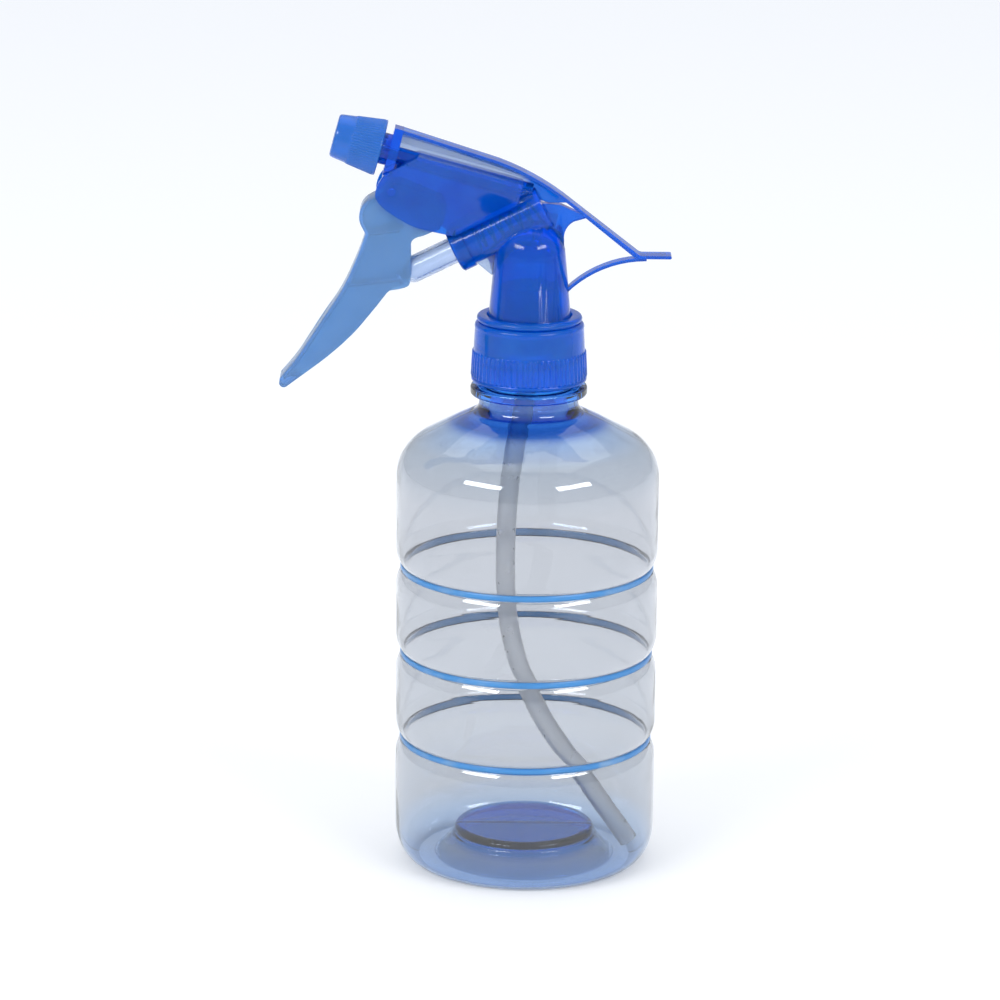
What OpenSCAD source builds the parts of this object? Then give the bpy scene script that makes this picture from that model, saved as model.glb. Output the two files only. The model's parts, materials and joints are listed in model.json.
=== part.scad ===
// Trigger sprayer on a round, grooved bottle.
// Millimetres, +Z up. The origin is on the bottle's axis, on the surface that it stands on.
// The spray leaves towards -X, and the side profiles below are drawn as [x, z] pairs.

/* [Bottle] */
// Outside diameter of the body
body_d = 74.4; // [62:0.2:90]
// Height of the straight body, from the floor to the start of the shoulder
body_h = 113; // [100:1:140]
// Wall of the blown body
body_wall = 0.6; // [0.4:0.05:1]
// Radius of the shoulder's outer bend
shoulder_r = 13; // [10:0.5:15]
// Height from the start of the shoulder to the top of the support ring
neck_rise = 26.6; // [24:0.2:32]
// Width of the flat ring that the bottle stands on
stand_ring_w = 5; // [3:0.5:7]
// Height of the pushed-up middle of the base, measured underneath
push_up_h = 7.6; // [5:0.2:10]
// Radius of the flat middle of the push-up
push_up_r = 19.7; // [14:0.1:22]
// Thickness of the moulded base at the push-up
base_wall = 2.2; // [1:0.1:3]

/* [Grooves and bands] */
// Height of the lowest groove
groove_z = 36.5; // [30:0.5:45]
// Distance from one groove to the next
groove_pitch = 25.15; // [20:0.05:28]
// Number of grooves, with a band in each
groove_count = 3; // [1:1:3]
// Radius of the bulge beside each groove
groove_bulge_r = 8; // [6:0.5:12]
// Height of each bulge's curve, above and below the band
groove_reach = 4.6; // [3:0.1:6]
// Height of a band
band_h = 1.7; // [1:0.1:3]
// Thickness of a band
band_t = 0.6; // [0.4:0.05:1]

/* [Neck finish] */
// Diameter over the neck's thread
thread_d = 27.4; // [23:0.1:33]
// Depth of the neck's thread
thread_depth = 1.15; // [0.8:0.05:1.4]
// Rise of the thread in one turn
thread_pitch = 4.23; // [3:0.01:5]
// Turns of the thread
thread_turns = 1.6; // [1:0.1:2]
// Height of the neck finish above the support ring
finish_h = 15.8; // [14:0.1:19]
// Wall of the neck under the thread
neck_wall = 1.75; // [1.2:0.05:2.5]
// How far the support ring stands out past the thread
ring_out = 2.8; // [1.5:0.1:4]
// Thickness of the support ring
ring_t = 2.4; // [1.5:0.1:3]

/* [Closure] */
// Radial gap between the neck's thread and the closure's wall
closure_gap = 0.3; // [0.2:0.05:0.6]
// Wall of the closure at its top
closure_wall = 1.55; // [1.2:0.05:2.2]
// Extra radius at the closure's hem
closure_flare = 0.75; // [0:0.05:1.2]
// Height of the collar bead round the shank
collar_h = 2.7; // [2:0.1:4]
// Number of grip ribs
rib_count = 60; // [24:1:80]
// Height of the grip ribs
rib_h = 7.6; // [4:0.1:9]
// Thickness of the gasket between the neck and the head
gasket_t = 1.2; // [0.8:0.1:2]

/* [Shank] */
// Slope of the shank's outside, in degrees from upright
shank_draft = 6.2; // [2:0.1:8]
// Wall of the shank
shank_wall = 2.2; // [1.6:0.1:3]
// Height of the shank above the closure
shank_h = 17; // [14:0.5:20]

/* [Pump] */
// Bore of the pump cylinder
bore_d = 10; // [8:0.1:12]
// Wall of the pump cylinder
bore_wall = 1.1; // [0.9:0.05:1.6]
// Depth of the bore
bore_depth = 25; // [22:0.5:28]
// Rise of the cylinder's axis from its mouth, in degrees
pump_tilt = 26.5; // [20:0.5:32]
// Diameter of the plunger
plunger_d = 7.5; // [5.5:0.1:8.2]
// Wall of the plunger
plunger_wall = 1; // [0.8:0.05:1.4]
// Length of plunger that stands out of the cylinder at rest
plunger_out = 18; // [15:0.1:20]
// Wire of the return spring
spring_wire = 0.8; // [0.5:0.05:1]
// Turns of the return spring
spring_turns = 7; // [5:1:8]
// Diameter of the inlet ball
inlet_ball_d = 4; // [3:0.1:4.5]
// Diameter of the outlet ball
outlet_ball_d = 2.6; // [2:0.1:3]
// Free travel of both balls
ball_lift = 1.2; // [0.8:0.1:1.5]

/* [Trigger] */
// Thickness of the trigger's two cheeks
cheek_t = 1; // [0.8:0.05:1.4]
// Distance from the pivot down to the trigger's tip
trigger_drop = 56; // [46:0.5:66]
// How far the tip stands in front of the pivot
trigger_lead = 31.4; // [24:0.2:36]
// Diameter of the trigger's pin
pin_d = 2.4; // [2:0.1:3]

/* [Head] */
// Rise of the spray, in degrees
spray_tilt = 15; // [10:0.5:20]
// Wall of the housing round the trigger's top
housing_t = 1; // [0.8:0.05:1.4]
// Width of the top rail
rail_w = 6; // [4:0.2:8]
// Thickness of the top rail, the tail and the strut
rail_t = 0.9; // [0.7:0.05:1.4]
// Width of the strut under the tail
strut_w = 4; // [3:0.2:6]
// Thickness of the web between the rail and the housing
web_t = 0.8; // [0.6:0.1:2]
// Outside diameter of the discharge barrel
barrel_d = 5; // [4.4:0.1:6]
// Bore of the discharge barrel
barrel_bore = 3.2; // [2.6:0.1:3.4]

/* [Nozzle] */
// Diameter over the nozzle boss's thread
boss_d = 10.1; // [9:0.1:11]
// Length of the nozzle boss
boss_l = 9.3; // [8:0.1:11]
// Rise of the boss's thread in one turn
boss_pitch = 2; // [1.5:0.1:2.5]
// Diameter of the nozzle cap at its front
nozzle_front_d = 12.3; // [11.4:0.1:14]
// Diameter of the nozzle cap at its back
nozzle_back_d = 16.1; // [14:0.1:18]
// Length of the nozzle cap
nozzle_l = 13.5; // [12.5:0.1:16]
// Diameter of the spray hole
spray_hole_d = 0.8; // [0.5:0.1:1.2]

/* [Dip tube] */
// Outside diameter of the dip tube
tube_d = 5.5; // [4:0.1:6]
// Wall of the dip tube
tube_wall = 0.75; // [0.5:0.05:1]
// Lean of the tube as it leaves the neck, in degrees
tube_lean = 12.8; // [6:0.2:16]
// Angle of the tube's last stretch, in degrees from upright
tube_sweep = 35; // [25:1:45]

/* [Hidden] */
$fn = 96;

// Clearances between pieces
fit_gap = 0.03;      // a piece pressed into its seat
run_gap = 0.06;      // a round piece that slides or turns in its bore
side_gap = 0.3;      // flat faces that pass each other
rest_gap = 0.1;      // faces that stand against each other at rest

// Bottle
body_r = body_d / 2;
heel_rx = 6.8;
heel_rz = 11;
stand_r = body_r - heel_rx;
groove_floor_r = body_r - 1.8;
shoulder_slope = 26;
shoulder_wall = 1.1;
neck_fillet = 3.3;
ring_top_z = body_h + neck_rise;
finish_z = ring_top_z + finish_h;
thread_r = thread_d / 2;
root_r = thread_r - thread_depth;
neck_bore_r = root_r - neck_wall;
neck_r = root_r + 1.45;
ring_r = thread_r + ring_out;
thread_root_w = 2.3;
thread_crest_w = 1.1;
thread_sink = 0.35;
neck_thread_z = finish_z - 2.4 - thread_turns * thread_pitch;

// Closure
closure_in_r = thread_r + closure_gap;
closure_out_r = closure_in_r + closure_wall;
closure_hem_r = closure_out_r + closure_flare;
closure_hem_z = ring_top_z + 1.5;
closure_lid_t = 1.7;
flange_t = 1.6;
flange_z = finish_z + gasket_t;
closure_lid_z = flange_z + flange_t + rest_gap;
closure_top_z = closure_lid_z + closure_lid_t;
closure_ridge_root_w = 1.7;
closure_ridge_crest_w = 0.7;
closure_ridge_drop = 1.75;
rib_depth = 0.4;
rib_z = closure_hem_z + 1.2;

// Shank
shank_base_r = thread_r - 2.2;
shank_slope = tan(shank_draft);
shank_top_z = closure_top_z + shank_h;
shank_top_r = shank_base_r - shank_slope * shank_h;
function shank_r(z) = shank_base_r - shank_slope * (z - closure_top_z);
cavity_base_r = shank_base_r - shank_wall;
skirt_z = finish_z - 5;
function cavity_r(z) = cavity_base_r - shank_slope * max(0, z - closure_top_z);

// Pump cylinder. mouth is the middle of its open end.
bore_r = bore_d / 2;
pump_r = bore_r + bore_wall;
mouth = [-19.8, closure_top_z + 18.9];
along = [cos(pump_tilt), sin(pump_tilt)];
across = [-sin(pump_tilt), cos(pump_tilt)];
function pump_at(a, r) = mouth + a * along + r * across;
pump_end_t = 1.3;
pump_l = bore_depth + pump_end_t;
mouth_ring_r = pump_r + 0.6;
mouth_ring_l = 2.4;
plunger_r = plunger_d / 2;
collar_t = 1.6;
collar_l = 2;
cup_l = 3.2;
cup_a = collar_l + 0.3;
spring_a = cup_a + cup_l;
spring_r = (bore_d - 3.4) / 2 - spring_wire / 2;
port_r = 0.8;
port_a = bore_depth - port_r - 0.5;

// The inside of the shank ends in a dome that stays just clear of the cylinder.
dome_gap = 0.1;
dome_room = across * (mouth - [0, closure_top_z]) - pump_r - dome_gap - cavity_base_r;
dome_rise = dome_room / (along[0] - shank_slope);
dome_z = closure_top_z + dome_rise;
dome_r = cavity_r(dome_z);
inlet_x = 1.5;
inlet_port_r = 1.2;

// Spray line. nose is where it leaves the front plate.
nose = [-39.7, closure_top_z + 46.4];
back = [cos(spray_tilt), -sin(spray_tilt)];
up = [sin(spray_tilt), cos(spray_tilt)];
function spray_at(u, w) = nose + u * back + w * up;
plate_t = 2.6;
plate_low = 6.5;
plate_high = 6.9;
plate_r = 5.4;
barrel_r = barrel_d / 2;
barrel_drop = 0.9;
seat_u = 33.5;
shelf_w = 1.5;
shelf_t = 1.1;

// Nozzle, measured forwards from the front plate
boss_r = boss_d / 2;
boss_root_r = boss_r - 0.6;
boss_bore_r = 2.5;
boss_bore_l = 4.5;
boss_thread_turns = 2.6;
boss_thread_z = 3;
boss_ridge_w = 1.1;
boss_crest_w = 0.5;
nozzle_z = 2.2;
nozzle_wall = 1.2;
nozzle_bore_r = boss_r + 0.25;
seal_t = 1.1;
seal_r = boss_root_r - 0.1;
seal_z = boss_l + rest_gap;
swirl_r = boss_bore_r - fit_gap;
swirl_tip_r = 1.5;
swirl_tip_z = nozzle_z + nozzle_l - nozzle_wall - rest_gap;
swirl_stem_r = 0.9;

// Trigger and its housing
cheek_in = plunger_r + side_gap;
cheek_out = cheek_in + cheek_t;
housing_in = cheek_out + side_gap;
housing_out = housing_in + housing_t;
pin_r = pin_d / 2;
pivot = [-38.8, closure_top_z + 35.6];
tip = pivot + [-trigger_lead, -trigger_drop];
tip_r = 1.3;
nose_z = -plunger_out;

// Tube holder and dip tube
tube_r = tube_d / 2;
socket_top_z = closure_top_z - 1;
socket_bottom_z = finish_z - 9;
inlet_r = inlet_ball_d / 2;
seat_z = closure_top_z + 1.5;
throat_r = inlet_r * 0.7;
inlet_ball_z = seat_z + sqrt(2) * (inlet_r + fit_gap) - throat_r;
chamber_top_z = inlet_ball_z + inlet_r + ball_lift;
holder_top_z = chamber_top_z + 2.2;
tube_bend_z = socket_bottom_z - 1;
tube_bend_r = 45;
tube_return_r = 200;
tube_foot_r = 85;
tube_end_z = 4.6;
tube_end_x = body_r - 7;

function arc(c, r, from, to, n) =
    [for (i = [0:n]) let (a = from + (to - from) * i / n) c + r * [cos(a), sin(a)]];
// A smooth curve through points, with n steps from each one to the next
function blend(p, q, r, s, t) = 0.5 * (2 * q + (r - p) * t + (2 * p - 5 * q + 4 * r - s) * t * t
    + (3 * q - p - 3 * r + s) * t * t * t);
function curve(points, n) = let (last = len(points) - 1)
    [for (i = [0:last]) each i == last ? [points[last]]
        : [for (k = [0:n - 1])
            blend(points[max(i - 1, 0)], points[i], points[i + 1], points[min(i + 2, last)], k / n)]];
function flip(points) = [for (i = [len(points) - 1:-1:0]) points[i]];

// A side profile [x, z], extruded between y0 and y1
module side(points, y0, y1) {
    translate([0, y1, 0]) rotate([90, 0, 0]) linear_extrude(y1 - y0) polygon(points);
}

// Children drawn round +Z, turned to run up the pump's axis from the cylinder's mouth
module on_pump() {
    translate([mouth[0], 0, mouth[1]]) rotate([0, 90 - pump_tilt, 0]) children();
}

// Children drawn round +Z, turned to run forwards out of the front plate
module on_spray(drop = 0) {
    foot = spray_at(0, -drop);
    translate([foot[0], 0, foot[1]]) rotate([0, spray_tilt - 90, 0]) children();
}

module tube(r_out, r_in, z0, z1) {
    translate([0, 0, z0]) difference() {
        cylinder(r = r_out, h = z1 - z0);
        translate([0, 0, -1]) cylinder(r = r_in, h = z1 - z0 + 2);
    }
}

// A trapezoid ridge wound round +Z, right-handed, in short level steps. It is half as high at its two ends.
ridge_steps = 16;
module ridge(r_root, r_crest, w_root, w_crest, pitch, turns, z0) {
    steps = ceil(turns * ridge_steps);
    for (i = [0:steps - 1]) {
        crest = r_root + (r_crest - r_root) * min(1, (i + 2) / 3, (steps + 1 - i) / 3);
        translate([0, 0, z0 + pitch * (i + 0.5) / ridge_steps]) rotate([0, 0, 360 * i / ridge_steps + 3])
            rotate_extrude(angle = 360 / ridge_steps + 0.4) polygon([[r_root, -w_root / 2],
                [crest, -w_crest / 2], [crest, w_crest / 2], [r_root, w_root / 2]]);
    }
}

// ---- Bottle ----

// Outer line of the body from the heel to the shoulder, at a depth d inside the wall
function groove_line(z, d) = let (
        floor_h = band_h / 2 + 0.1,
        bulge = groove_bulge_r - d,
        turn = asin(groove_reach / groove_bulge_r),
        middle_r = body_r - groove_bulge_r)
    concat(
        arc([middle_r, z - floor_h - groove_reach], bulge, 0, turn, 4),
        [[groove_floor_r - d, z - floor_h], [groove_floor_r - d, z + floor_h]],
        arc([middle_r, z + floor_h + groove_reach], bulge, -turn, 0, 4));

function body_line(d) = concat(
    [for (i = [0:10]) let (a = 9 * i) [stand_r + (heel_rx - d) * sin(a), heel_rz - (heel_rz - d) * cos(a)]],
    [for (i = [0:groove_count - 1]) each groove_line(groove_z + i * groove_pitch, d)],
    arc([body_r - shoulder_r, body_h], shoulder_r - d, 0, 90 - shoulder_slope, 9));

module bottle() {
    bend_end = [body_r - shoulder_r, body_h] + shoulder_r * [sin(shoulder_slope), cos(shoulder_slope)];
    neck_foot_z = ring_top_z - ring_t - 2.4;
    cone_r = neck_r + neck_fillet;
    cone_z = neck_foot_z - neck_fillet;
    mid_r = (bend_end[0] + cone_r) / 2;
    mid_z = (bend_end[1] + cone_z) / 2 + 0.7;
    ring_z = ring_top_z - ring_t;
    cone_foot_r = stand_r - stand_ring_w;
    step_z = push_up_h - 2.3;
    outer = concat(
        [[0, push_up_h], [push_up_r - 0.8, push_up_h], [push_up_r - 0.5, step_z], [cone_foot_r - 0.5, 0.6],
            [cone_foot_r, 0]],
        body_line(0),
        [[mid_r, mid_z]],
        arc([cone_r, cone_z + neck_fillet], neck_fillet, 270, 180, 5),
        [[neck_r, ring_z - 0.6], [ring_r - 0.5, ring_z], [ring_r, ring_z + 0.5], [ring_r, ring_top_z - 0.5],
            [ring_r - 0.5, ring_top_z], [root_r, ring_top_z], [root_r, finish_z - 0.4],
            [root_r - 0.4, finish_z], [neck_bore_r, finish_z]]);
    inner = concat(
        [[0, push_up_h + base_wall], [push_up_r, push_up_h + base_wall],
            [push_up_r + 0.3, step_z + base_wall * 0.8], [cone_foot_r + 0.2, 1.6]],
        body_line(body_wall),
        [[mid_r - 0.2, mid_z - shoulder_wall], [cone_r, cone_z - shoulder_wall - 0.3],
            [neck_bore_r + 0.4, cone_z + 0.8], [neck_bore_r, cone_z + 2]]);
    color([0.78, 0.84, 0.9, 0.5]) {
        rotate_extrude() polygon(concat(outer, flip(inner)));
        ridge(root_r - thread_sink, thread_r, thread_root_w, thread_crest_w, thread_pitch, thread_turns,
            neck_thread_z);
    }
}

module band(i) {
    z = groove_z + i * groove_pitch;
    r = groove_floor_r + fit_gap;
    color([0.24, 0.5, 0.78]) rotate_extrude() polygon([
        [r, z - band_h / 2], [r + band_t - 0.2, z - band_h / 2], [r + band_t, z - band_h / 4],
        [r + band_t, z + band_h / 4], [r + band_t - 0.2, z + band_h / 2], [r, z + band_h / 2]]);
}
module band_lower() { band(0); }
module band_middle() { band(1); }
module band_upper() { band(2); }

// ---- Closure ----

module closure() {
    hole_r = shank_r(closure_lid_z) + side_gap;
    bead_r = hole_r + 2.9;
    shoulder_z = closure_lid_z - 1.6;
    color([0.18, 0.42, 0.75]) {
        rotate_extrude() polygon(concat(
            [[closure_in_r + 0.5, closure_hem_z], [closure_hem_r, closure_hem_z],
                [closure_hem_r, closure_hem_z + 1], [closure_out_r, shoulder_z]],
            arc([closure_out_r - 1.4, shoulder_z], 1.4, 0, 75, 4),
            [[bead_r - 0.7, closure_top_z - collar_h + 0.7]],
            arc([bead_r - 0.9, closure_top_z - 0.95], 0.9, -60, 80, 5),
            [[hole_r + 0.3, closure_top_z], [hole_r, closure_top_z - 0.3], [hole_r, closure_lid_z],
                [closure_in_r, closure_lid_z], [closure_in_r, closure_hem_z + 0.5]]));
        grip();
        ridge(closure_in_r + thread_sink, root_r + closure_gap, closure_ridge_root_w, closure_ridge_crest_w,
            thread_pitch, thread_turns, neck_thread_z - closure_ridge_drop);
    }
}

// The grip's ribs, as one fluted sleeve with two corners to a rib
module grip() {
    step = 360 / rib_count;
    crest_r = closure_hem_r + rib_depth / 2;
    root = closure_hem_r - rib_depth / 2;
    flutes = [for (i = [0:rib_count - 1]) for (k = [[0.1, root], [0.3, crest_r], [0.6, crest_r], [0.8, root]])
        k[1] * [cos((i + k[0]) * step), sin((i + k[0]) * step)]];
    translate([0, 0, rib_z]) difference() {
        linear_extrude(rib_h) polygon(flutes);
        translate([0, 0, -1]) cylinder(r = closure_in_r + 0.6, h = rib_h + 2);
    }
}

module neck_gasket() {
    color([0.93, 0.94, 0.95]) tube(thread_r - 0.1, neck_bore_r + 0.3, finish_z + fit_gap, flange_z - fit_gap);
}

// ---- Pump body ----

rail_start = spray_at(1.6, plate_high);
rail_slope = 17.5;
rail_bend_r = 72;
rail_bend_from = rail_start + 25.5 * [cos(rail_slope), -sin(rail_slope)];
rail_fall = 38.9;
rail_bend_c = rail_bend_from - rail_bend_r * [sin(rail_slope), cos(rail_slope)];
rail_bend_to = rail_bend_c + rail_bend_r * [sin(rail_fall), cos(rail_fall)];
rail_fall_l = 23.7;
tail_kink = rail_bend_to + rail_fall_l * [cos(rail_fall), -sin(rail_fall)];
tail_l = 9.6;

// Top line of the rail, at a depth d under its surface
function rail_line(d) = concat(
    [rail_start - d * [sin(rail_slope), cos(rail_slope)]],
    arc(rail_bend_c, rail_bend_r - d, 90 - rail_slope, 90 - rail_fall, 8));

module rail() {
    fall = [cos(rail_fall), -sin(rail_fall)];
    under = rail_bend_to - rail_t * [sin(rail_fall), cos(rail_fall)];
    tail_tip = tail_kink + [tail_l - rail_t / 2, -rail_t / 2];
    side(concat(
        rail_line(0),
        arc(tail_kink + [1.5, 2.2], 2.2, 230, 270, 4),
        arc(tail_tip, rail_t / 2, 90, -90, 6),
        [[tail_kink[0] + 0.4, tail_kink[1] - rail_t], under + (rail_fall_l - 0.6) * fall],
        flip(rail_line(rail_t))), -rail_w / 2, rail_w / 2);
}

strut_r = 32;
strut_c = [tail_kink[0] + 2.6, tail_kink[1] - rail_t - strut_r + 0.1];
module strut() {
    foot_x = shank_r(strut_c[1] + 24) - 0.6;
    reach = asin((strut_c[0] - foot_x) / strut_r);
    side(concat(
        arc(strut_c, strut_r, 90, 90 + reach, 10),
        flip(arc(strut_c, strut_r - rail_t, 90, 90 + reach + 1, 10))), -strut_w / 2, strut_w / 2);
}

// Shank, base flange and the skirt that reaches into the neck
module shank_solid() {
    dome_top = shank_top_r + 0.3;
    rotate_extrude() polygon(concat(
        [[0, skirt_z], [neck_bore_r - side_gap, skirt_z], [neck_bore_r - side_gap, flange_z],
            [thread_r - 0.2, flange_z], [thread_r - 0.2, flange_z + flange_t],
            [shank_r(flange_z + flange_t), flange_z + flange_t]],
        arc([0, shank_top_z], dome_top, 0, 90, 8)));
}

module shank_hollow() {
    rotate_extrude() polygon(concat(
        [[0, skirt_z - 1], [cavity_base_r, skirt_z - 1], [cavity_base_r, closure_top_z]],
        arc([0, dome_z], dome_r, 0, 90, 8)));
}

// Housing over the trigger's top: a shelf along the barrel, a sloping front and two side plates.
// It is open in front and below.
housing_out_line = concat(
    [spray_at(8.6, shelf_w), spray_at(0.4, 0.4 - plate_low)],
    curve([pivot + [-3.6, 2.6], pivot + [-4.4, 0.3], pivot + [-4.3, -1.9], pivot + [-2.4, -4.4],
        pivot + [0.9, -6.8], pivot + [5.7, -9.5], pivot + [10, -10.8]], 4),
    [pump_at(0.6, pump_r - 1.5), pump_at(20, pump_r - 1.5), spray_at(38.5, shelf_w)]);
housing_in_line = [spray_at(8.6, shelf_w - shelf_t), spray_at(0.4 + shelf_t, -plate_low), pivot + [-7, 3.6],
    pivot + [-7, -14], pump_at(-6, -2), pump_at(1, pump_r), pump_at(20, pump_r),
    spray_at(37.5, shelf_w - shelf_t)];

module housing() {
    difference() {
        side(housing_out_line, -housing_out, housing_out);
        side(housing_in_line, -housing_in, housing_in);
    }
}

// Flat webs in the middle plane: under the rail, under the cylinder, and the rib behind the shank
module webs() {
    side(concat(rail_line(rail_t / 2), [spray_at(47, shelf_w - 4), spray_at(2, shelf_w - 0.5)]),
        -web_t / 2, web_t / 2);
    side([pump_at(2, 1 - pump_r), [-shank_top_r - 1.2, closure_top_z + 11.2], [-4, closure_top_z + 11.2],
        pump_at(10, 0)], -web_t / 2, web_t / 2);
    loop_c = [shank_top_r + 4.9, shank_top_z + 5.2];
    side(concat([[shank_r(shank_top_z - 4) - 0.8, shank_top_z - 4]], arc(loop_c, 5.2, 190, 118, 6),
        [rail_bend_to + [4.6, -4.4], rail_bend_to + [-3, -rail_t], pump_at(pump_l - 1, 2), [0, shank_top_z]]),
        -1.5, 1.5);
}

module front_plate() {
    on_spray() translate([0, 0, -plate_t]) linear_extrude(plate_t) polygon([[-plate_low, -plate_r + 1.5],
        [-plate_low + 1.5, -plate_r], [2.5, -plate_r], [plate_high, -rail_w / 2], [plate_high, rail_w / 2],
        [2.5, plate_r], [-plate_low + 1.5, plate_r], [-plate_low, plate_r - 1.5]]);
}

module pump_body() {
    color([0.14, 0.38, 0.74]) {
        difference() {
            union() {
                rail();
                strut();
                webs();
                housing();
                front_plate();
                shank_solid();
                on_pump() cylinder(r = pump_r, h = pump_l);
                on_pump() cylinder(r = mouth_ring_r, h = mouth_ring_l);
                on_spray(barrel_drop) translate([0, 0, -41.5]) cylinder(r = barrel_r, h = 41.5);
                on_spray() translate([0, 0, -1]) cylinder(r = boss_root_r, h = boss_l + 1);
            }
            shank_hollow();
            on_pump() translate([0, 0, -1]) cylinder(r = bore_r, h = bore_depth + 1);
            on_spray() translate([0, 0, boss_l - boss_bore_l]) cylinder(r = boss_bore_r, h = boss_bore_l + 1);
            on_spray(barrel_drop) translate([0, 0, -seat_u])
                cylinder(r = barrel_bore / 2, h = seat_u + boss_l - 3);
            on_spray(barrel_drop) translate([0, 0, -40.6]) cylinder(r = port_r, h = 10);
            outlet_port();
            inlet_port();
            translate([pivot[0], 0, pivot[1]]) rotate([90, 0, 0])
                cylinder(r = pin_r + fit_gap, h = 3 * housing_out, center = true);
        }
        on_spray() ridge(boss_root_r - 0.2, boss_r, boss_ridge_w, boss_crest_w, boss_pitch, boss_thread_turns,
            boss_thread_z);
    }
}

// From the back of the bore, up into the discharge barrel
module outlet_port() {
    on_pump() translate([0, 0, port_a]) rotate([0, -90, 0]) cylinder(r = port_r, h = bore_r + 1.6);
}

// From the top of the shank's dome, up into the bore
module inlet_port() {
    axis_z = pump_at((inlet_x - mouth[0]) / along[0], 0)[1];
    translate([inlet_x, 0, dome_z]) cylinder(r = inlet_port_r, h = axis_z - dome_z);
}

// ---- Trigger ----

trigger_front = concat(
    [pivot + [-0.8, 1.6], pivot + [-3.6, -1.2]],
    arc(pivot + [-3.5, -7.4], 5.5, 115, 212, 9),
    curve([pivot + [-7.2, -12.2], pivot + [-9.6, -19.2], pivot + [-13.9, -28.6], pivot + [-20, -38],
        pivot + [-26.4, -48], tip + [0.15, 2.1]], 5));
trigger_rear = concat(
    curve([tip + [2.8, 0.5], pivot + [-18.2, -47.6], pivot + [-10.9, -40.9], pivot + [-5.1, -34],
        pivot + [-1.2, -28.9]], 5),
    curve([pivot + [-0.4, -28.2], pivot + [3.6, -27.4], pivot + [5.3, -25.8], pivot + [5.4, -20],
        pivot + [5.4, -15], pivot + [6.7, -13.2], pivot + [9.2, -12.4], pivot + [13.6, -10.4]], 3),
    [pivot + [14, -4.2], pivot + [12.6, -1.2], pivot + [2, 2.4]]);

function inset(points, d) = [for (p = points) p + d];

// One cheek's outline, with the tip placed from the trigger's own length and lead
trigger_outline = concat(trigger_front,
    arc(tip + [tip_r, tip_r * 0.75], tip_r, 160, 300, 6),
    trigger_rear);

module trigger() {
    hollow_front = inset([for (i = [1:len(trigger_front) - 1]) trigger_front[i]], [1.15, -0.35]);
    hollow_tip = tip + [3.2, 2.9];
    behind = [pivot + [20, -60], pivot + [40, -30], pivot + [30, 8], pivot + [2.6, 8], pivot + [0.6, 2.2]];
    color([0.39, 0.55, 0.75]) difference() {
        union() {
            difference() {
                side(trigger_outline, -cheek_out, cheek_out);
                side(concat(hollow_front, [hollow_tip], behind), -cheek_in, cheek_in);
            }
            shelf(pivot + [-6.3, -11.9], pivot + [2.1, -10.8]);
            shelf(pivot + [-12.2, -26.6], push_at(0, 0));
            side([push_at(0, -1.6), push_at(0, 1.6), push_at(-1, 1.6), push_at(-1, -1.6)],
                -cheek_in - 0.2, cheek_in + 0.2);
            pin_eye();
        }
        translate([pivot[0], 0, pivot[1]]) rotate([90, 0, 0])
            cylinder(r = pin_r + run_gap, h = 3 * cheek_out, center = true);
    }
}

// A point on the pad that pushes the plunger, which stands square to the plunger's end
function push_at(a, r) = pump_at(nose_z - rest_gap + a, r);

// A cross rib between the cheeks, from one point to another
module shelf(from, to) {
    side([from, to, to - [0, 0.9], from - [0, 0.9]], -cheek_in - 0.2, cheek_in + 0.2);
}

// Bosses that carry the pin on the cheeks' inner faces
module pin_eye() {
    for (s = [-1, 1])
        translate([pivot[0], s * (cheek_in - 0.3), pivot[1]]) rotate([90, 0, 0])
            cylinder(r = pin_r + 0.9, h = 1.2, center = true);
}

module trigger_pin() {
    color([0.2, 0.45, 0.78]) translate([pivot[0], 0, pivot[1]]) rotate([90, 0, 0])
        cylinder(r = pin_r, h = 2 * housing_out, center = true);
}

// ---- Pump internals ----

module plunger() {
    round_c = [0, nose_z + plunger_r];
    color([0.85, 0.88, 0.92, 0.6]) on_pump() rotate_extrude() polygon(concat(
        arc(round_c, plunger_r, -90, 0, 8),
        [[plunger_r, cup_a + 0.6], [plunger_r - plunger_wall, cup_a + 0.6]],
        arc(round_c, plunger_r - plunger_wall, 0, -90, 6)));
}

// Seal on the plunger's inner end, with a lip each way
module piston_cup() {
    lip_r = bore_r - run_gap;
    stem_r = plunger_r - plunger_wall - fit_gap;
    color([0.93, 0.93, 0.9]) on_pump() rotate_extrude() polygon([[0, cup_a - 2.4], [stem_r, cup_a - 2.4],
        [stem_r, cup_a + 0.6 + fit_gap], [lip_r - 0.7, cup_a + 0.6 + fit_gap], [lip_r - 0.5, cup_a + 0.2],
        [lip_r, cup_a + 0.2], [lip_r - 0.25, cup_a + 1.4], [lip_r - 0.25, cup_a + cup_l - 1.2],
        [lip_r, cup_a + cup_l], [lip_r - 0.5, cup_a + cup_l], [lip_r - 0.8, cup_a + cup_l - 1.4],
        [0, cup_a + cup_l - 1.4]]);
}

module cylinder_collar() {
    slide_r = plunger_r + run_gap;
    color([0.12, 0.33, 0.72]) on_pump() rotate_extrude() polygon([[slide_r, -collar_t],
        [mouth_ring_r - 0.4, -collar_t], [mouth_ring_r, -collar_t + 0.4], [mouth_ring_r, -fit_gap],
        [bore_r - fit_gap, -fit_gap], [bore_r - fit_gap, collar_l - 0.3], [bore_r - 0.4, collar_l],
        [slide_r, collar_l]]);
}

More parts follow.
